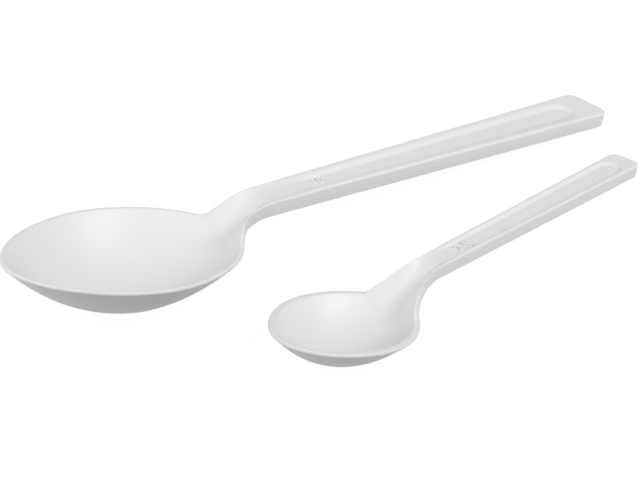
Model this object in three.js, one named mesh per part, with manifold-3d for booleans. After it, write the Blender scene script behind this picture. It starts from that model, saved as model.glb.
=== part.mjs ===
// Two moulded sampling spoons, a large one and a small one, lying side by side with their bowls up.
// Millimetres, +Z up, the large spoon's handle towards +X. Each spoon is one moulding: an egg-shaped
// bowl with a flat rim, a neck that climbs as an open channel, and a dished handle with a sunk panel.
import * as THREE from "three";
import { mergeVertices } from "three/addons/utils/BufferGeometryUtils.js";
import Module from "manifold-3d";

const wasm = await Module();
wasm.setup();

// Driving dimensions. Lengths run along the spoon and heights start at the rim's plane.
// Angles are in degrees. Rounds are the heights over which two lines flow into each other.
const largeSize = {
  bowlLength: 57.25,
  bowlWidth: 39.2,
  bowlDepth: 12.65,
  bowlWall: 1,
  bowlFullness: 1.847, // exponent of the rim's oval, 2 for an ellipse
  bowlTaper: 0.058, // widening of the oval towards the handle
  rimLand: 0.9,
  neckLand: 1.2, // width of the land where the neck leaves the rim
  rimThickness: 0.95,
  neckInset: 3.4, // from the bowl's end back to where the neck leaves the rim
  neckLength: 6.8, // from the bowl's end to the handle's straight part
  neckRise: 8.05,
  neckRoot: 4.7, // pull of the neck's edge along the rim where it starts
  neckCrest: 8.6, // pull of the neck's edge along the handle where it ends
  turnLead: 3.4, // from where the land starts to turn upright to the neck's start
  turnTrail: 6.85, // from where the land stands upright to the handle's straight part
  channelReach: 0.1, // from the bowl's end to where the channel's floor comes up to the rim
  channelRound: 3,
  handleLength: 109.1,
  handlePitch: 6.7,
  handleThickness: 3.7,
  handleNeckWidth: 8.55,
  handleEndWidth: 14.1,
  handleDish: 0.8,
  endCorner: 3.2,
  panelLead: 9, // from the start of the handle's straight part to the panel's floor
  panelStop: 6.6, // from the panel's floor to the handle's end
  panelMargin: 1.6,
  panelWallRun: 0.7,
  panelDepth: 0.7,
};

const smallSize = {
  bowlLength: 38.2,
  bowlWidth: 27.0,
  bowlDepth: 7.65,
  bowlWall: 0.85,
  bowlFullness: 1.882,
  bowlTaper: 0.028,
  rimLand: 1.15,
  neckLand: 1.55,
  rimThickness: 0.95,
  neckInset: 5.55,
  neckLength: 7.85,
  neckRise: 8.6,
  neckRoot: 1.6,
  neckCrest: 7.8,
  turnLead: 4.2,
  turnTrail: 1.0,
  channelReach: 0.4,
  channelRound: 3,
  handleLength: 79.1,
  handlePitch: 9.39,
  handleThickness: 3.1,
  handleNeckWidth: 5.8,
  handleEndWidth: 8.35,
  handleDish: 0.5,
  endCorner: 2.2,
  panelLead: 9,
  panelStop: 5.3,
  panelMargin: 0.9,
  panelWallRun: 0.5,
  panelDepth: 0.6,
};

// Where the small spoon lies: its handle's end from the large one's, and the angle between them.
const smallBack = 14.53;
const smallAside = 26.56;
const smallTurn = 9.63;

// How finely the surfaces are drawn: rings from the rim to the middle, stations along each stretch, and
// the step over which a line's direction is taken.
const RINGS = 10;
const BOWL_STATIONS = 9;
const NECK_STATIONS = 10;
const HANDLE_STATIONS = 5;
const CORNER_STATIONS = 4;
const TANGENT_STEP = 0.01;

const { clamp, degToRad, lerp, smoothstep } = THREE.MathUtils;

// The lower of two heights, with a smooth change from one to the other.
function smoothLower(a, b, round) {
  const near = Math.max(round - Math.abs(a - b), 0);
  return Math.min(a, b) - near ** 2 / (4 * round);
}

// The lines that a spoon's surfaces hang on, as functions of the place along it from the bowl's centre.
function linesOf(size) {
  const bowlEnd = size.bowlLength / 2;
  const handleStart = bowlEnd + size.neckLength;
  const handleEnd = handleStart + size.handleLength;
  const depthOutside = size.bowlDepth + size.bowlWall - size.rimThickness;

  const rimHalf = (x) => {
    const share = clamp(x / bowlEnd, -1, 1);
    const oval = (1 - Math.abs(share) ** size.bowlFullness) ** (1 / size.bowlFullness);
    return (size.bowlWidth / 2) * oval * (1 + size.bowlTaper * share);
  };
  const handleHalf = (x) => {
    const share = (x - handleStart) / size.handleLength;
    return lerp(size.handleNeckWidth, size.handleEndWidth, share) / 2;
  };
  const handleTop = (x) => size.neckRise + Math.tan(degToRad(size.handlePitch)) * (x - handleStart);
  const floor = (x) => {
    const bowl = -size.bowlDepth * (1 - (x / (bowlEnd + size.channelReach)) ** 2);
    const dish = size.handleDish * (1 - smoothstep(x, handleEnd - size.panelStop, handleEnd));
    return smoothLower(bowl, handleTop(x) - dish, size.channelRound);
  };
  const underside = (x) => {
    const reach = bowlEnd + size.channelReach + size.bowlWall;
    const bowl = -size.rimThickness - depthOutside * (1 - (x / reach) ** 2);
    return smoothLower(bowl, handleTop(x) - size.handleThickness, size.channelRound);
  };
  return { bowlEnd, handleStart, handleEnd, depthOutside, rimHalf, handleHalf, handleTop, floor, underside };
}

// Cross-sections from the bowl's centre to the handle's end. Outside the inner surface runs a band, the
// flat land of the rim, which turns along the neck until it stands upright as the handle's side.
function stationsOf(size, lines) {
  const neckStart = lines.bowlEnd - size.neckInset;
  const turnStart = neckStart - size.turnLead;
  const turnStop = lines.handleStart - size.turnTrail;
  const sideHeight = size.handleThickness - size.rimThickness;
  const stations = [];
  const add = (x, half, rimTop) => {
    const turn = smoothstep(x, turnStart, turnStop);
    const land = lerp(size.rimLand, size.neckLand, smoothstep(x, 0, neckStart));
    const width = lerp(land, sideHeight, turn);
    const lean = (Math.PI / 2) * turn;
    stations.push({ x, half, rimTop, inset: width * Math.cos(lean), raise: width * Math.sin(lean) });
  };

  const sweep = Math.asin(neckStart / lines.bowlEnd);
  for (let i = 0; i < BOWL_STATIONS; i++) {
    const x = lines.bowlEnd * Math.sin((sweep * i) / BOWL_STATIONS);
    add(x, lines.rimHalf(x), 0);
  }

  const root = new THREE.Vector3(neckStart, lines.rimHalf(neckStart), 0);
  const beforeRoot = neckStart - TANGENT_STEP;
  const alongRim = root.clone().sub(new THREE.Vector3(beforeRoot, lines.rimHalf(beforeRoot), 0));
  const crest = new THREE.Vector3(
    lines.handleStart,
    size.handleNeckWidth / 2,
    size.neckRise - sideHeight,
  );
  const handleEdgeEnd = new THREE.Vector3(
    lines.handleEnd,
    size.handleEndWidth / 2,
    lines.handleTop(lines.handleEnd) - sideHeight,
  );
  const alongHandle = handleEdgeEnd.sub(crest);
  const neckEdge = new THREE.CubicBezierCurve3(
    root,
    root.clone().add(alongRim.setLength(size.neckRoot)),
    crest.clone().sub(alongHandle.setLength(size.neckCrest)),
    crest,
  );
  for (let i = 0; i <= NECK_STATIONS; i++) {
    const point = neckEdge.getPoint(i / NECK_STATIONS);
    add(point.x, point.y, point.z);
  }

  const cornerStart = lines.handleEnd - size.endCorner;
  for (let i = 1; i <= HANDLE_STATIONS; i++) {
    const x = lerp(lines.handleStart, cornerStart, i / HANDLE_STATIONS);
    add(x, lines.handleHalf(x), lines.handleTop(x) - sideHeight);
  }
  for (let i = 1; i <= CORNER_STATIONS; i++) {
    const turn = (Math.PI / 2) * (i / CORNER_STATIONS);
    const x = cornerStart + size.endCorner * Math.sin(turn);
    const half = lines.handleHalf(x) - size.endCorner * (1 - Math.cos(turn));
    add(x, half, lines.handleTop(x) - sideHeight);
  }

  // The band keeps its width where the outline runs slantwise.
  for (let i = 1; i < stations.length - 1; i++) {
    const run = stations[i + 1].x - stations[i - 1].x;
    const spread = Math.hypot(run, stations[i + 1].half - stations[i - 1].half) / run;
    stations[i].inset *= spread;
  }
  return stations;
}

// The moulding without its panel: a box's grid, its tip half drawn as rings and the rest as stations.
function mouldingGeometry(size, lines) {
  const stations = stationsOf(size, lines);
  const lengthCells = RINGS + stations.length - 1;
  const box = new THREE.BoxGeometry(1, 1, 1, lengthCells, 2 * RINGS, 1);
  const place = box.getAttribute("position");
  const innerRings = RINGS - 1;

  for (let n = 0; n < place.count; n++) {
    const along = Math.round((place.getX(n) + 0.5) * lengthCells) - RINGS;
    const across = Math.round((place.getY(n) + 0.5) * 2 * RINGS) - RINGS;
    const onTop = place.getZ(n) > 0;
    const ring = along < 0 ? Math.max(-along, Math.abs(across)) : Math.abs(across);
    const onEdge = ring === RINGS;
    const share = onTop && !onEdge ? ring / innerRings : ring / RINGS;

    if (along < 0) {
      const u = along / ring;
      const v = across / ring;
      const x = lines.bowlEnd * u * Math.sqrt(1 - v ** 2 / 2);
      const y = Math.sign(v) * lines.rimHalf(x);
      const inLength = onTop && !onEdge ? 1 - size.rimLand / lines.bowlEnd : 1;
      const inWidth = onTop && !onEdge ? 1 - (2 * size.rimLand) / size.bowlWidth : 1;
      const inside = onEdge ? 0 : -size.bowlDepth * (1 - share ** 2);
      const outside = -size.rimThickness - lines.depthOutside * (1 - share ** 2);
      place.setXYZ(n, x * share * inLength, y * share * inWidth, onTop ? inside : outside);
    } else {
      const { x, half, rimTop, inset, raise } = stations[along];
      const reach = onTop && !onEdge ? half - inset : half;
      const inside = onEdge ? rimTop : lerp(lines.floor(x), rimTop + raise, share ** 2);
      const outside = lerp(lines.underside(x), rimTop - size.rimThickness, share ** 2);
      place.setXYZ(n, x, Math.sign(across) * share * reach, onTop ? inside : outside);
    }
  }
  return box;
}

// The cutter for the panel: a long tapered shape with round ends and sloping walls, along the handle.
function panelGeometry(size, lines) {
  const start = lines.handleStart + size.panelLead;
  const stop = lines.handleEnd - size.panelStop;
  const inset = size.panelMargin + size.panelWallRun;
  const startHalf = lines.handleHalf(start) - inset;
  const stopHalf = lines.handleHalf(stop) - inset;
  const height = size.panelDepth + 2 * size.handleDish;

  const shape = new THREE.Shape();
  shape.absarc(start + startHalf, 0, startHalf, Math.PI / 2, (3 * Math.PI) / 2);
  shape.absarc(stop - stopHalf, 0, stopHalf, -Math.PI / 2, Math.PI / 2);
  const cutter = new THREE.ExtrudeGeometry(shape, {
    depth: size.panelDepth,
    bevelThickness: height,
    bevelSize: (height * size.panelWallRun) / size.panelDepth,
    bevelSegments: 1,
    curveSegments: 12,
  });
  cutter.translate(-lines.handleStart, 0, height);
  cutter.rotateY(-degToRad(size.handlePitch));
  return cutter.translate(lines.handleStart, 0, size.neckRise - size.handleDish - size.panelDepth);
}

function solidOf(geometry) {
  const bare = geometry.clone();
  bare.deleteAttribute("normal");
  bare.deleteAttribute("uv");
  const merged = mergeVertices(bare.index ? bare.toNonIndexed() : bare);
  return new wasm.Manifold(
    new wasm.Mesh({
      numProp: 3,
      vertProperties: merged.getAttribute("position").array,
      triVerts: new Uint32Array(merged.index.array),
    }),
  );
}

function geometryOf(solid) {
  const { vertProperties, triVerts } = solid.getMesh();
  const geometry = new THREE.BufferGeometry();
  geometry.setAttribute("position", new THREE.BufferAttribute(vertProperties, 3));
  geometry.setIndex(new THREE.BufferAttribute(triVerts, 1));
  geometry.computeVertexNormals();
  return geometry;
}

// The tilt at which the bowl's underside and the handle's end both touch the table.
function restingTilt(geometry, heel, bowlEnd) {
  const place = geometry.getAttribute("position");
  let steepest = 0;
  for (let n = 0; n < place.count; n++) {
    if (place.getX(n) < bowlEnd) {
      steepest = Math.max(steepest, (heel.z - place.getZ(n)) / (heel.x - place.getX(n)));
    }
  }
  return Math.atan(steepest);
}

// One spoon at rest, with the lower edge of its handle's end at the group's own origin.
function spoon(name, size, material) {
  const lines = linesOf(size);
  const moulding = solidOf(mouldingGeometry(size, lines));
  const geometry = geometryOf(moulding.subtract(solidOf(panelGeometry(size, lines))));
  const heel = new THREE.Vector3(lines.handleEnd, 0, lines.handleTop(lines.handleEnd) - size.handleThickness);

  const mesh = new THREE.Mesh(geometry, material);
  mesh.name = name;
  mesh.position.copy(heel).negate();
  const resting = new THREE.Group();
  resting.rotation.y = restingTilt(geometry, heel, lines.bowlEnd);
  resting.add(mesh);
  const placed = new THREE.Group();
  placed.add(resting);
  return placed;
}

const whitePlastic = { roughness: 0.38, metalness: 0 };
const large = spoon(
  "large_spoon",
  largeSize,
  new THREE.MeshStandardMaterial({ color: 0xe9ebea, ...whitePlastic }),
);
const small = spoon(
  "small_spoon",
  smallSize,
  new THREE.MeshStandardMaterial({ color: 0xe7e9e8, ...whitePlastic }),
);
small.position.set(-smallBack, -smallAside, 0);
small.rotation.z = degToRad(smallTurn);

// The pair stands on z = 0 with its box centred on the origin.
const group = new THREE.Group();
group.add(large, small);
group.updateMatrixWorld(true);
const box = new THREE.Box3().setFromObject(group, true);
const centre = box.getCenter(new THREE.Vector3());
for (const one of [large, small]) {
  one.position.sub(new THREE.Vector3(centre.x, centre.y, box.min.z));
}

export default group;
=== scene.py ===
import math
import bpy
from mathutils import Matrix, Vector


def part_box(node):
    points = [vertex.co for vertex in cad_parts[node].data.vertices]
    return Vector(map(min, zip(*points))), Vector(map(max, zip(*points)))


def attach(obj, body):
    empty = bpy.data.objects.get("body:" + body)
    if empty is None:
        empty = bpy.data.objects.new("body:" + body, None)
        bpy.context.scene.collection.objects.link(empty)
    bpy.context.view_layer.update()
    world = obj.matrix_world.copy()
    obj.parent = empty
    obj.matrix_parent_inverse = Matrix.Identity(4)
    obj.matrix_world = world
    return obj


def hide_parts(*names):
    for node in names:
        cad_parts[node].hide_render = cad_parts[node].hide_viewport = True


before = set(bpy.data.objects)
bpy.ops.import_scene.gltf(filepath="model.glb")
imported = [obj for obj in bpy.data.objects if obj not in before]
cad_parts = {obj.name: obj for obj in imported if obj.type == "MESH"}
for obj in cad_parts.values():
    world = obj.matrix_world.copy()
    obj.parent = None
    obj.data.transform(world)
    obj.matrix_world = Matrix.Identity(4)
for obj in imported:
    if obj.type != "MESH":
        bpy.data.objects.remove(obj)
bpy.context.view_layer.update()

from types import SimpleNamespace

import bmesh
import bpy
from mathutils import Matrix, Vector

# The large spoon is one injection moulding in white polystyrene. The flat land of its bowl's rim turns
# upright along a channelled neck and becomes the side of the dished handle, which has a long sunk panel.
# It lies loose on the table, on the bottom of its bowl and the lower edge of its handle's end.

# Its sizes in metres. The land's outer side is its foot and the inner one its lip, and each climbs the neck
# on a curve of its own, with a pull at the root and one at the crest.
LARGE_SIZE = SimpleNamespace(
    bowl_length=0.0571,
    bowl_width=0.0396,
    bowl_depth=0.01265,
    bowl_wall=0.001,
    bowl_fullness=1.847,
    bowl_taper=0.045,
    rim_rise=0.0004,
    rim_land=0.0009,
    neck_land=0.0009,
    rim_thickness=0.0007,
    rim_round=0.00034,
    land_round=0.00025,
    neck_inset=0.00391,
    neck_length=0.0068,
    neck_rise=0.00825,
    foot_climb=math.radians(1.9),
    foot_root=0.00647,
    foot_crest=0.00887,
    lip_climb=math.radians(13.9),
    lip_root=0.00414,
    lip_crest=0.00986,
    lip_round_by=0.3,
    underside_reach=0.0001,
    channel_lead=0.002,
    channel_depth=0.001,
    channel_round=0.004,
    channel_steepness=3.0,
    handle_length=0.1091,
    handle_pitch=math.radians(6.7),
    handle_thickness=0.00382,
    handle_neck_width=0.0088,
    handle_end_width=0.01435,
    handle_round=0.00075,
    handle_dish=0.00025,
    end_corner=0.0032,
    end_round=0.0024,
    end_lift=0.0013,
    panel_fade_in=0.0045,
    panel_full=0.0145,
    panel_stop=0.009,
    panel_floor=0.45,
    panel_top=0.84,
    panel_flare=0.85,
    panel_end_wall=0.0017,
    panel_depth=0.0007,
    lower_round=0.00015,
)
LARGE_TURN = 0.0
LARGE_PALE = (0.845, 0.845, 0.84)
LARGE_SHADED = (0.82, 0.82, 0.815)

# How finely a spoon is drawn: rings from its middle line out to its edge, on the panel's floor, up its wall
# and over the band beside it, then stations along the spoon, and steps on the neck's curves.
FLOOR_RINGS = 10
WALL_RINGS = 10
BAND_RINGS = 12
INNER_RINGS = FLOOR_RINGS + WALL_RINGS + BAND_RINGS
ROUND_STEPS = 4
RINGS = INNER_RINGS + 2 * ROUND_STEPS + 2
LOWER_RINGS = RINGS - ROUND_STEPS - 1
BOWL_STATIONS = 36
NECK_STATIONS = 40
HANDLE_STATIONS = 72
CURVE_STEP = 0.001
CURVE_HALVINGS = 30

# The power by which a bowl's hollow rises from its middle, and the part of the way round a handle's end that
# its round corner takes.
BOWL_STEEPNESS = 2.0
CORNER_FROM = 0.3
CORNER_TO = 0.7


def lerp(start, stop, share):
    return start + (stop - start) * share


def ease(value, start, stop):
    """A soft step from none to one between two values."""
    share = min(max((value - start) / (stop - start), 0.0), 1.0)
    return share * share * (3 - 2 * share)


def smooth_lower(a, b, blend):
    """The lower of two heights, with a soft corner where they cross."""
    near = max(blend - abs(a - b), 0.0)
    return min(a, b) - near * near / (4 * blend)


def towards(start, stop, distance):
    """The point at a distance from one point towards another."""
    return start + (stop - start).normalized() * distance


def bend(before, corner, after, share):
    """A point of a round corner between two straights."""
    return lerp(lerp(before, corner, share), lerp(corner, after, share), share)


def curve_point(points, share):
    """A point of the curve that four points pull."""
    rest = 1 - share
    inner = points[1] * rest + points[2] * share
    return points[0] * rest**3 + inner * 3 * share * rest + points[3] * share**3


def curve_at(points, x):
    """The point of a curve at a distance along x, by halving."""
    low = 0.0
    high = 1.0
    for _ in range(CURVE_HALVINGS):
        middle = (low + high) / 2
        if curve_point(points, middle).x < x:
            low = middle
        else:
            high = middle
    return curve_point(points, low)


def wall_share(ring):
    """How far up the panel's wall a ring lies, from none on the floor to one at the wall's top."""
    return min(max(ring - FLOOR_RINGS, 0) / WALL_RINGS, 1.0)


def band_share(ring):
    """How far a ring lies over the band between the panel's wall and the handle's edge."""
    return max(ring - FLOOR_RINGS - WALL_RINGS, 0) / BAND_RINGS


class SpoonShape:
    """Half a spoon's lines, along x from its bowl's centre, with heights above the plane of its rim."""

    def __init__(self, size):
        self.size = size
        self.bowl_end = size.bowl_length / 2
        self.neck_start = self.bowl_end - size.neck_inset
        self.handle_start = self.bowl_end + size.neck_length
        self.handle_end = self.handle_start + size.handle_length
        self.slope = math.tan(size.handle_pitch)
        self.depth_outside = size.bowl_depth + size.bowl_wall - size.rim_thickness
        panel_end = self.handle_end - size.panel_stop
        self.panel_end_run = self.handle_half(panel_end) * size.panel_floor
        self.panel_end_centre = panel_end - self.panel_end_run
        self.stations = self.make_stations()
        heel = self.handle_end - size.end_round
        self.heel = Vector((heel, 0.0, self.handle_bottom(heel)))

    def rim_half(self, x):
        """Half the width of the bowl's oval, which narrows to its tip."""
        size = self.size
        share = min(max(x / self.bowl_end, -1.0), 1.0)
        oval = (1 - abs(share) ** size.bowl_fullness) ** (1 / size.bowl_fullness)
        return size.bowl_width / 2 * oval * (1 + size.bowl_taper * share)

    def rim_height(self, x):
        """How far the rim has risen on its way to the neck."""
        share = max(x / self.neck_start, 0.0)
        return self.size.rim_rise * share * share

    def rim_outward(self, x, y):
        """The level way out of the oval at a point of it."""
        size = self.size
        widening = 1 + size.bowl_taper * x / self.bowl_end
        across = y / (size.bowl_width / 2 * widening)
        along = abs(x) / self.bowl_end
        power = size.bowl_fullness - 1
        out_x = math.copysign(along**power, x) / self.bowl_end
        out_x -= across**size.bowl_fullness * size.bowl_taper / (self.bowl_end * widening)
        out_y = across**power / (size.bowl_width / 2 * widening)
        return Vector((out_x, out_y)).normalized()

    def handle_half(self, x):
        share = (x - self.handle_start) / self.size.handle_length
        return lerp(self.size.handle_neck_width, self.size.handle_end_width, share) / 2

    def handle_top(self, x):
        return self.size.neck_rise + self.slope * (x - self.handle_start)

    def handle_bottom(self, x):
        """The handle's underside, which curves up at its end."""
        size = self.size
        share = max(x - self.handle_end + size.end_round, 0.0) / size.end_round
        lift = size.end_lift * (1 - math.sqrt(max(1 - share * share, 0.0)))
        return self.handle_top(x) - size.handle_thickness + lift

    def panel_height(self, x):
        return self.handle_top(x) - self.size.handle_dish - self.size.panel_depth

    def panel_share(self, x):
        """How much of the panel's depth there is, which grows from none past the neck."""
        return ease(x - self.handle_start, self.size.panel_fade_in, self.size.panel_full)

    def dish(self, x):
        """How deep the channel lies between the edges: deep in the neck, shallow in the handle."""
        size = self.size
        handle_dish = size.handle_dish * (1 - ease(x, self.handle_end - size.panel_stop, self.handle_end))
        return lerp(size.channel_depth, handle_dish, self.panel_share(x))

    def floor(self, x, height):
        """The height of the middle line inside, from the bowl up into the channel."""
        size = self.size
        share = x / (self.bowl_end - size.channel_lead)
        bowl = -size.bowl_depth * (1 - share**BOWL_STEEPNESS)
        return smooth_lower(bowl, height - self.dish(x), size.channel_round)

    def underside(self, x):
        """The height of the middle line below, from the bowl up to the handle."""
        size = self.size
        reach = self.bowl_end + size.underside_reach + size.bowl_wall
        bowl = -size.rim_thickness - self.depth_outside * (1 - (x / reach) ** 2)
        return smooth_lower(bowl, self.handle_top(x) - size.handle_thickness, size.channel_round)

    def edge(self, upper, land, outward, round_size):
        """The corners of the edge at a point of the outline, from the inside out and down."""
        drop = Vector((0.0, 0.0, self.size.rim_thickness))
        return SimpleNamespace(
            outward=outward,
            round=round_size,
            land=land,
            upper=upper,
            middle=upper - drop / 2,
            lower=upper - drop,
        )

    def rim_edge(self, x):
        """The bowl's edge, with the flat land of its rim."""
        size = self.size
        upper = Vector((x, self.rim_half(x), self.rim_height(x)))
        outward = self.rim_outward(upper.x, upper.y)
        width = lerp(size.rim_land, size.neck_land, ease(x, 0.0, self.neck_start))
        return self.edge(upper, upper - outward.to_3d() * width, outward, size.land_round)

    def handle_edge(self, x, half, outward):
        """The handle's edge, with its upright side."""
        upper = Vector((x, half, self.handle_bottom(x) + self.size.rim_thickness))
        return self.edge(upper, Vector((x, half, self.handle_top(x))), outward, self.size.handle_round)

    def neck_edges(self, root, crest):
        """The neck's edges, between the curves on which the land's two sides climb to the handle."""
        size = self.size
        level_run = Vector((root.outward.y, -root.outward.x, 0.0))
        widening = (size.handle_end_width - size.handle_neck_width) / 2 / size.handle_length
        handle_run = Vector((1.0, widening, self.slope)).normalized()

        def climbing(first, last, climb, root_pull, crest_pull):
            run = level_run * math.cos(climb) + Vector((0.0, 0.0, math.sin(climb)))
            return first, first + run * root_pull, last - handle_run * crest_pull, last

        foot = climbing(root.upper, crest.upper, size.foot_climb, size.foot_root, size.foot_crest)
        lip = climbing(root.land, crest.land, size.lip_climb, size.lip_root, size.lip_crest)
        edges = []
        for step in range(1, NECK_STATIONS):
            share = step / NECK_STATIONS
            upper = curve_point(foot, share)
            run = (curve_point(foot, share + CURVE_STEP) - upper).xy.normalized()
            gone = (upper.x - root.upper.x) / (crest.upper.x - root.upper.x)
            land = curve_at(lip, lerp(root.land.x, crest.land.x, gone))
            round_size = lerp(size.land_round, size.handle_round, ease(share, 0.0, size.lip_round_by))
            edges.append(self.edge(upper, land, Vector((-run.y, run.x)), round_size))
        return edges

    def make_stations(self):
        """Edges from the bowl's centre to the middle of the panel's round end."""
        sweep = math.asin(self.neck_start / self.bowl_end)
        bowl = []
        for step in range(BOWL_STATIONS + 1):
            bowl.append(self.rim_edge(self.bowl_end * math.sin(sweep * step / BOWL_STATIONS)))
        handle = []
        for step in range(HANDLE_STATIONS + 1):
            x = lerp(self.handle_start, self.panel_end_centre, step / HANDLE_STATIONS)
            handle.append(self.handle_edge(x, self.handle_half(x), Vector((0.0, 1.0))))
        return bowl + self.neck_edges(bowl[-1], handle[0]) + handle

    def tip_edge(self, u, v):
        """The edge round the bowl's tip, for a place on the square ring round it."""
        return self.rim_edge(self.bowl_end * u * math.sqrt(1 - v * v / 2))

    def end_turn(self, u, v):
        """How far round the handle's end a place on the square ring lies, from the handle's side."""
        return math.pi / 4 * (u if v == 1 else 2 - v)

    def end_edge(self, u, v):
        """The edge round the handle's end, which has two round corners."""
        size = self.size
        share = self.end_turn(u, v) / (math.pi / 2)
        corner_start = self.handle_end - size.end_corner
        corner_share = (share - CORNER_FROM) / (CORNER_TO - CORNER_FROM)
        turn = math.pi / 2 * min(max(corner_share, 0.0), 1.0)
        x = corner_start + size.end_corner * math.sin(turn)
        y = self.handle_half(x) - size.end_corner * (1 - math.cos(turn))
        if share < CORNER_FROM:
            x = lerp(self.panel_end_centre, corner_start, share / CORNER_FROM)
            y = self.handle_half(x)
        if share > CORNER_TO:
            y *= (1 - share) / (1 - CORNER_TO)
        return self.handle_edge(x, y, Vector((math.sin(turn), math.cos(turn))))

    def ring_of(self, along, across):
        """The ring of a grid place, and the edge that it looks at."""
        past = along - len(self.stations) + 1
        ring = max(across, -along, past)
        if along < 0:
            return ring, self.tip_edge(along / ring, across / ring)
        if past > 0:
            return ring, self.end_edge(past / ring, across / ring)
        return ring, self.stations[along]

    def handle_ring(self, ring, half):
        """How far from the handle's middle line a ring of the panel runs."""
        wall_top = half * self.size.panel_top
        wall_foot = half * self.size.panel_floor
        if ring <= FLOOR_RINGS:
            return wall_foot * ring / FLOOR_RINGS
        return lerp(wall_foot, wall_top, wall_share(ring))

    def handle_surface(self, x, share, height, ring):
        """The top of the neck and handle: a dish across it, and in the handle the panel sunk in it."""
        size = self.size
        channel = ease(x, self.neck_start - size.neck_length, self.handle_start)
        steepness = lerp(BOWL_STEEPNESS, size.channel_steepness, channel)
        dished = lerp(self.floor(x, height), height, share**steepness)
        out_of_panel = ease(wall_share(ring) ** size.panel_flare, 0.0, 1.0)
        return lerp(dished, self.panel_height(x), self.panel_share(x) * (1 - out_of_panel))

    def inside_bowl(self, ring, edge):
        """A place in the half of the bowl with its tip."""
        land = edge.land.xy
        inner = land - edge.outward * edge.round
        place = inner * (ring / INNER_RINGS)
        share = place.length / land.length
        return Vector((place.x, place.y, -self.size.bowl_depth * (1 - share**BOWL_STEEPNESS)))

    def inside_station(self, ring, edge):
        """A place of the inside from the bowl's middle to the panel's round end."""
        x = edge.land.x
        half = edge.land.y
        inner = half - edge.round
        even_y = inner * ring / INNER_RINGS
        handle_y = lerp(self.handle_ring(ring, inner), inner, band_share(ring))
        handle = ease(x, self.neck_start, self.handle_start + self.size.panel_fade_in)
        y = lerp(even_y, handle_y, handle)
        return Vector((x, y, self.handle_surface(x, y / half, edge.land.z, ring)))

    def inside_end(self, ring, edge, turn):
        """A place of the handle's top round the panel's end."""
        last = self.stations[-1]
        wide = self.handle_ring(ring, last.land.y - last.round)
        long = self.panel_end_run * min(ring / FLOOR_RINGS, 1.0)
        long += self.size.panel_end_wall * wall_share(ring)
        place = Vector((self.panel_end_centre + long * math.sin(turn), wide * math.cos(turn)))
        place = lerp(place, edge.land.xy - edge.outward * edge.round, band_share(ring))
        share = place.y / self.handle_half(place.x)
        height = self.handle_surface(place.x, share, self.handle_top(place.x), ring)
        return Vector((place.x, place.y, height))

    def inside(self, along, across, ring, edge):
        """A place of the inner surface, up to its round edge."""
        if along < 0:
            return self.inside_bowl(ring, edge)
        if along < len(self.stations):
            return self.inside_station(ring, edge)
        past = along - len(self.stations) + 1
        return self.inside_end(ring, edge, self.end_turn(past / ring, across / ring))

    def upper(self, along, across):
        """A place of the upper shell: the inside, its round edge, the land or side, and the outer edge."""
        ring, edge = self.ring_of(along, across)
        if ring <= INNER_RINGS:
            return self.inside(along, across, ring, edge)
        if ring == RINGS:
            return edge.middle
        step = ring - INNER_RINGS
        if step <= ROUND_STEPS:
            start = self.inside(along, across, INNER_RINGS, edge)
            stop = towards(edge.land, edge.upper, edge.round)
            return bend(start, edge.land, stop, step / ROUND_STEPS)
        start = towards(edge.upper, edge.land, self.size.rim_round)
        stop = towards(edge.upper, edge.middle, self.size.rim_round)
        return bend(start, edge.upper, stop, (step - ROUND_STEPS - 1) / ROUND_STEPS)

    def outside(self, along, ring, edge):
        """A place of the outer surface, up to its round edge."""
        size = self.size
        share = ring / LOWER_RINGS
        inner = edge.lower.xy - edge.outward * size.lower_round
        if along < 0:
            place = inner * share
            height = -size.rim_thickness - self.depth_outside * (1 - share * share)
            return Vector((place.x, place.y, height))
        if along < len(self.stations):
            height = lerp(self.underside(edge.lower.x), edge.lower.z, share * share)
            return Vector((edge.lower.x, inner.y * share, height))
        place = lerp(Vector((self.panel_end_centre, 0.0)), inner, share)
        return Vector((place.x, place.y, self.handle_bottom(place.x)))

    def lower(self, along, across):
        """A place of the lower shell: the bowl's outside and the plain underside of the neck and handle."""
        ring, edge = self.ring_of(along, across)
        if ring <= LOWER_RINGS:
            return self.outside(along, ring, edge)
        if ring == RINGS:
            return edge.middle
        start = self.outside(along, LOWER_RINGS, edge)
        stop = towards(edge.lower, edge.middle, self.size.lower_round)
        return bend(start, edge.lower, stop, (ring - LOWER_RINGS) / ROUND_STEPS)


# The flat grids that become a spoon's shells are one metre across. Their points merge within these distances,
# where the two halves meet in the middle and where the upper shell meets the lower one.
GRID_HALF = 0.5
MIDDLE_MERGE = 1e-7
SHELL_MERGE = 1e-6


def shell(mesh, shape, place):
    """Half of one side of a spoon: a grid with rings round the middle line, laid on the given surface."""
    length_cells = 2 * RINGS + len(shape.stations) - 1
    grid = bmesh.ops.create_grid(mesh, x_segments=length_cells, y_segments=RINGS, size=GRID_HALF)
    for vert in grid["verts"]:
        along = round((vert.co.x + GRID_HALF) * length_cells) - RINGS
        across = round((vert.co.y + GRID_HALF) * RINGS)
        vert.co = place(along, across)


def laid_on_table(mesh, shape, node, turn):
    """Rests a spoon on its bowl and its handle's end, at the place of its node. Returns the move."""
    steepest = 0.0
    for vert in mesh.verts:
        if vert.co.x < shape.bowl_end:
            steepest = max(steepest, (shape.heel.z - vert.co.z) / (shape.heel.x - vert.co.x))
    turned = Matrix.Rotation(turn, 4, "Z") @ Matrix.Rotation(math.atan(steepest), 4, "Y")
    places = [turned @ vert.co for vert in mesh.verts]
    low, high = (Vector(corner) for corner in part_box(node))
    shift = Vector()
    for axis in range(3):
        values = [place[axis] for place in places]
        shift[axis] = (low[axis] + high[axis] - min(values) - max(values)) / 2
    shift.z = low.z - min(place.z for place in places)
    move = Matrix.Translation(shift) @ turned
    bmesh.ops.transform(mesh, matrix=move, verts=mesh.verts)
    return move


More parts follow.
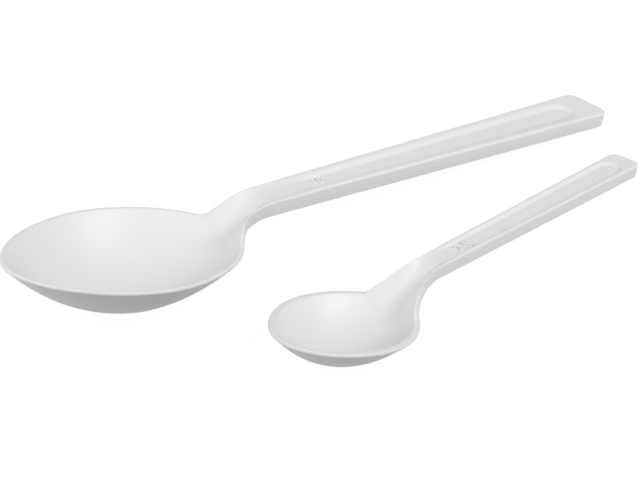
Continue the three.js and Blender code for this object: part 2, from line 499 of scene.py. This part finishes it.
def finished_piece(name, mesh, material):
    """A mesh made an object with its material, where it is."""
    data = bpy.data.meshes.new(name)
    mesh.to_mesh(data)
    mesh.free()
    data.shade_smooth()
    data.materials.append(material)
    piece = bpy.data.objects.new(name, data)
    bpy.context.scene.collection.objects.link(piece)
    return piece


def moulded_spoon(name, size, node, turn, material):
    """A spoon in its place, with its shape and the move that took it there."""
    shape = SpoonShape(size)
    mesh = bmesh.new()
    shell(mesh, shape, shape.upper)
    shell(mesh, shape, shape.lower)
    half = mesh.verts[:] + mesh.edges[:] + mesh.faces[:]
    bmesh.ops.mirror(mesh, geom=half, axis="Y", merge_dist=MIDDLE_MERGE)
    bmesh.ops.remove_doubles(mesh, verts=mesh.verts, dist=SHELL_MERGE)
    bmesh.ops.recalc_face_normals(mesh, faces=mesh.faces)
    move = laid_on_table(mesh, shape, node, turn)
    return finished_piece(name, mesh, material), shape, move


class Signal:
    """An output socket of a material, on which arithmetic adds Math nodes."""

    def __init__(self, tree, socket):
        self.tree = tree
        self.socket = socket

    @classmethod
    def node(cls, tree, kind, settings, sockets, output=0):
        made = tree.nodes.new(kind)
        for name, value in settings.items():
            setattr(made, name, value)
        for name, value in sockets.items():
            if isinstance(value, Signal):
                tree.links.new(value.socket, made.inputs[name])
            else:
                made.inputs[name].default_value = value
        return cls(tree, made.outputs[output]) if made.outputs else None

    def math(self, operation, first, second):
        return Signal.node(self.tree, "ShaderNodeMath", {"operation": operation}, {0: first, 1: second})

    def __add__(self, other):
        return self.math("ADD", self, other)

    def __radd__(self, other):
        return self.math("ADD", other, self)

    def __mul__(self, other):
        return self.math("MULTIPLY", self, other)

    def __rmul__(self, other):
        return self.math("MULTIPLY", other, self)


# The plastic's satin skin has broad clouds and finer flow marks in its white, and the mould's texture on it,
# under two hundredths of a millimetre high. These are their shares of its colour, roughness and relief.
CLOUD_COLOUR = 0.5
FLOW_COLOUR = 0.5
LEAST_ROUGHNESS = 0.34
CLOUD_ROUGHNESS = 0.08
TEXTURE_ROUGHNESS = 0.06
TEXTURE_RELIEF = 0.6
FLOW_RELIEF = 0.4
RELIEF_HEIGHT = 0.00002
RELIEF_STRENGTH = 0.25
PLASTIC_IOR = 1.5
PLASTIC_GLOSS = 0.3

# A Mix node's colour sockets are called by number, because its other kinds of data have the same names.
MIX_SHARE = 0
MIX_NONE = 6
MIX_FULL = 7
MIX_RESULT = 2


def white_polystyrene(name, pale, shaded):
    """Satin moulded plastic: a faint cloudiness in its white, and the mould's fine texture on its skin."""
    material = bpy.data.materials.new(name)
    material.use_nodes = True
    tree = material.node_tree
    tree.nodes.clear()
    place = Signal.node(tree, "ShaderNodeTexCoord", {}, {}, "Object")

    def noise(scale, detail):
        sockets = {"Vector": place, "Scale": scale, "Detail": detail}
        return Signal.node(tree, "ShaderNodeTexNoise", {}, sockets)

    clouds = noise(scale=45.0, detail=2.0)
    flow = noise(scale=160.0, detail=3.0)
    texture = noise(scale=3200.0, detail=2.0)
    whiteness = CLOUD_COLOUR * clouds + FLOW_COLOUR * flow
    whites = {MIX_SHARE: whiteness, MIX_NONE: (*shaded, 1.0), MIX_FULL: (*pale, 1.0)}
    relief = TEXTURE_RELIEF * texture + FLOW_RELIEF * flow
    bump = {"Strength": RELIEF_STRENGTH, "Distance": RELIEF_HEIGHT, "Height": relief}
    skin = {
        "Base Color": Signal.node(tree, "ShaderNodeMix", {"data_type": "RGBA"}, whites, MIX_RESULT),
        "Roughness": LEAST_ROUGHNESS + CLOUD_ROUGHNESS * clouds + TEXTURE_ROUGHNESS * texture,
        "IOR": PLASTIC_IOR,
        "Specular IOR Level": PLASTIC_GLOSS,
        "Normal": Signal.node(tree, "ShaderNodeBump", {}, bump),
    }
    surface = Signal.node(tree, "ShaderNodeBsdfPrincipled", {}, skin)
    Signal.node(tree, "ShaderNodeOutputMaterial", {}, {"Surface": surface})
    return material


large_spoon, large_shape, large_move = moulded_spoon(
    "large_spoon_moulding",
    LARGE_SIZE,
    "large_spoon",
    LARGE_TURN,
    white_polystyrene("large_spoon_plastic", LARGE_PALE, LARGE_SHADED),
)
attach(large_spoon, "large_spoon")
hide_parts("large_spoon")

# The large spoon's capacity in millilitres is moulded in low raised figures on the floor of its panel, read
# from the near side with the bowl on the left.
FIGURE_SHARE = 0.69
FIGURE_SPACING = 1.12
FIGURE_RISE = 0.0005
FIGURE_BEVEL = 0.0001
FIGURE_BEVEL_STEPS = 2
FIGURE_BOLDNESS = -0.00004
FIGURE_MERGE = 1e-7
LARGE_FIGURES = SimpleNamespace(words="10", height=0.0022, x=0.051, y=-0.0001)


def raised_figures(name, figures, shape, move, material):
    """Figures standing on a panel's floor, where they are part of the moulding."""
    curve = bpy.data.curves.new(name, "FONT")
    curve.body = figures.words
    curve.size = figures.height / FIGURE_SHARE
    curve.space_character = FIGURE_SPACING
    curve.align_x = "CENTER"
    curve.align_y = "CENTER"
    curve.offset = FIGURE_BOLDNESS
    curve.extrude = FIGURE_RISE - FIGURE_BEVEL
    curve.bevel_depth = FIGURE_BEVEL
    curve.bevel_resolution = FIGURE_BEVEL_STEPS
    words = bpy.data.objects.new(name, curve)
    bpy.context.scene.collection.objects.link(words)
    solid = bpy.data.meshes.new_from_object(words.evaluated_get(bpy.context.evaluated_depsgraph_get()))
    bpy.data.objects.remove(words)
    mesh = bmesh.new()
    mesh.from_mesh(solid)
    bpy.data.meshes.remove(solid)
    bmesh.ops.remove_doubles(mesh, verts=mesh.verts, dist=FIGURE_MERGE)
    bmesh.ops.recalc_face_normals(mesh, faces=mesh.faces)
    place = Vector((figures.x, figures.y, shape.panel_height(figures.x)))
    on_floor = Matrix.Translation(place) @ Matrix.Rotation(-shape.size.handle_pitch, 4, "Y")
    bmesh.ops.transform(mesh, matrix=move @ on_floor, verts=mesh.verts)
    piece = finished_piece(name, mesh, material)
    piece.data.shade_flat()
    return piece


large_figures = raised_figures(
    "large_spoon_figures", LARGE_FIGURES, large_shape, large_move, large_spoon.data.materials[0]
)
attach(large_figures, "large_spoon")

# The small spoon is the same moulding in a smaller size, with a broader rim for its bowl. It lies loose
# beside the large one, turned a little away from it.
SMALL_SIZE = SimpleNamespace(
    bowl_length=0.0379,
    bowl_width=0.0273,
    bowl_depth=0.00765,
    bowl_wall=0.00085,
    bowl_fullness=1.882,
    bowl_taper=0.018,
    rim_rise=0.0003,
    rim_land=0.00145,
    neck_land=0.00141,
    rim_thickness=0.0007,
    rim_round=0.00034,
    land_round=0.00025,
    neck_inset=0.00387,
    neck_length=0.00785,
    neck_rise=0.00875,
    foot_climb=math.radians(2.3),
    foot_root=0.00597,
    foot_crest=0.00567,
    lip_climb=math.radians(50.14),
    lip_root=0.01037,
    lip_crest=0.001,
    lip_round_by=0.15,
    underside_reach=0.0004,
    channel_lead=0.0013,
    channel_depth=0.00075,
    channel_round=0.004,
    channel_steepness=3.0,
    handle_length=0.0791,
    handle_pitch=math.radians(9.39),
    handle_thickness=0.00325,
    handle_neck_width=0.0060,
    handle_end_width=0.0085,
    handle_round=0.00058,
    handle_dish=0.0002,
    end_corner=0.0022,
    end_round=0.0018,
    end_lift=0.001,
    panel_fade_in=0.0025,
    panel_full=0.0095,
    panel_stop=0.0062,
    panel_floor=0.6,
    panel_top=0.94,
    panel_flare=1.0,
    panel_end_wall=0.0015,
    panel_depth=0.0005,
    lower_round=0.00015,
)
SMALL_TURN = math.radians(9.63)
# The small spoon's plastic is the large spoon's, set a little darker as painted shade, because the small
# spoon looks darker in the same light.
SMALL_PALE = (0.82, 0.82, 0.815)
SMALL_SHADED = (0.795, 0.795, 0.79)

small_spoon, small_shape, small_move = moulded_spoon(
    "small_spoon_moulding",
    SMALL_SIZE,
    "small_spoon",
    SMALL_TURN,
    white_polystyrene("small_spoon_plastic", SMALL_PALE, SMALL_SHADED),
)
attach(small_spoon, "small_spoon")
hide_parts("small_spoon")

# The small spoon's capacity is moulded in the same low raised figures, on the floor of its own panel and in
# the same plastic as the spoon.
SMALL_FIGURES = SimpleNamespace(words="2.5", height=0.0024, x=0.0376, y=-0.0004)

small_figures = raised_figures(
    "small_spoon_figures", SMALL_FIGURES, small_shape, small_move, small_spoon.data.materials[0]
)
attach(small_figures, "small_spoon")

# The table is a broad white sheet. The spoons get its plain bounced light. The camera sees it lifted to
# white, also in the plastic's gloss, with the spoons' shadows left faint on it. From below it is clear.
TABLE_SIZE = 3.0
BOUNCE_COLOUR = (0.285, 0.308, 0.304)
SEEN_COLOUR = (0.07, 0.07, 0.07)
SEEN_LIFT = 0.96

table_mesh = bmesh.new()
bmesh.ops.create_grid(table_mesh, x_segments=1, y_segments=1, size=TABLE_SIZE / 2)
table_material = bpy.data.materials.new("table_white")
table_material.use_nodes = True
table_tree = table_material.node_tree
table_tree.nodes.clear()


def matt(colour):
    return Signal.node(table_tree, "ShaderNodeBsdfDiffuse", {}, {"Color": (*colour, 1.0)})


def in_view(tree):
    """One for what the camera sees, also in gloss or through glass, and none for what only gives light."""
    camera_ray = Signal.node(tree, "ShaderNodeLightPath", {}, {}, "Is Camera Ray")
    glossy_ray = Signal.node(tree, "ShaderNodeLightPath", {}, {}, "Is Glossy Ray")
    transmission_ray = Signal.node(tree, "ShaderNodeLightPath", {}, {}, "Is Transmission Ray")
    return camera_ray + glossy_ray + transmission_ray


glow = Signal.node(table_tree, "ShaderNodeEmission", {}, {"Strength": SEEN_LIFT})
lifted = Signal.node(table_tree, "ShaderNodeAddShader", {}, {0: matt(SEEN_COLOUR), 1: glow})
sheet_sides = {0: in_view(table_tree), 1: matt(BOUNCE_COLOUR), 2: lifted}
sheet = Signal.node(table_tree, "ShaderNodeMixShader", {}, sheet_sides)
clear = Signal.node(table_tree, "ShaderNodeBsdfTransparent", {}, {})
from_below = Signal.node(table_tree, "ShaderNodeNewGeometry", {}, {}, "Backfacing")
one_sided = Signal.node(table_tree, "ShaderNodeMixShader", {}, {0: from_below, 1: sheet, 2: clear})
Signal.node(table_tree, "ShaderNodeOutputMaterial", {}, {"Surface": one_sided})
table = finished_piece("table", table_mesh, table_material)

# Plain studio light: an even white room and three round lamps. A broad one stands on the bowls' side, a broad
# one in front and a small one beside the handles, at degrees round and up from the middle of the table.
ROOM_LEVEL = 0.285
TABLE_MIDDLE = Vector((0.0, 0.0, 0.0))
LAMP_DISTANCE = 0.8
LAMPS = (
    SimpleNamespace(name="bowl_lamp", degrees_round=165.0, degrees_up=31.0, watts=5.0, width=1.1),
    SimpleNamespace(name="front_lamp", degrees_round=272.0, degrees_up=22.0, watts=1.9, width=1.1),
    SimpleNamespace(name="side_lamp", degrees_round=308.0, degrees_up=41.0, watts=3.05, width=0.3),
)

world = bpy.data.worlds.new("room")
world.use_nodes = True
room_tree = world.node_tree
room_tree.nodes.clear()
room_strength = ROOM_LEVEL + (1 - ROOM_LEVEL) * in_view(room_tree)
room = Signal.node(room_tree, "ShaderNodeBackground", {}, {"Strength": room_strength})
Signal.node(room_tree, "ShaderNodeOutputWorld", {}, {"Surface": room})
bpy.context.scene.world = world


def stand_facing(thing, target, degrees_round, degrees_up, distance):
    """Puts a lamp or a camera round and up from its target, at a distance from it and facing it."""
    level = math.cos(math.radians(degrees_up))
    turn = math.radians(degrees_round)
    rise = math.sin(math.radians(degrees_up))
    way_out = Vector((math.cos(turn) * level, math.sin(turn) * level, rise))
    thing.location = target + way_out * distance
    thing.rotation_euler = (-way_out).to_track_quat("-Z", "Y").to_euler()
    bpy.context.scene.collection.objects.link(thing)


for lamp in LAMPS:
    lamp_data = bpy.data.lights.new(lamp.name, "AREA")
    lamp_data.energy = lamp.watts
    lamp_data.shape = "DISK"
    lamp_data.size = lamp.width
    lamp_object = bpy.data.objects.new(lamp.name, lamp_data)
    stand_facing(lamp_object, TABLE_MIDDLE, lamp.degrees_round, lamp.degrees_up, LAMP_DISTANCE)

# The camera looks down on the pair from the near side of the bowls, along the photograph's line of sight. Its
# lens is given by its focal length in the photograph's pixels.
CAMERA_TARGET = Vector((-0.01024, 0.01393, 0.0))
CAMERA_DEGREES_ROUND = 232.06
CAMERA_DEGREES_UP = 32.485
CAMERA_DISTANCE = 0.33354
FOCAL_PIXELS = 1421.3
PHOTO_WIDTH_PIXELS = 640
SENSOR_WIDTH = 36.0
NEAREST_SEEN = 0.01

camera_data = bpy.data.cameras.new("camera")
camera_data.sensor_width = SENSOR_WIDTH
camera_data.lens = SENSOR_WIDTH * FOCAL_PIXELS / PHOTO_WIDTH_PIXELS
camera_data.clip_start = NEAREST_SEEN
camera = bpy.data.objects.new("camera", camera_data)
stand_facing(camera, CAMERA_TARGET, CAMERA_DEGREES_ROUND, CAMERA_DEGREES_UP, CAMERA_DISTANCE)
bpy.context.scene.camera = camera
bpy.context.scene.view_settings.view_transform = "Standard"
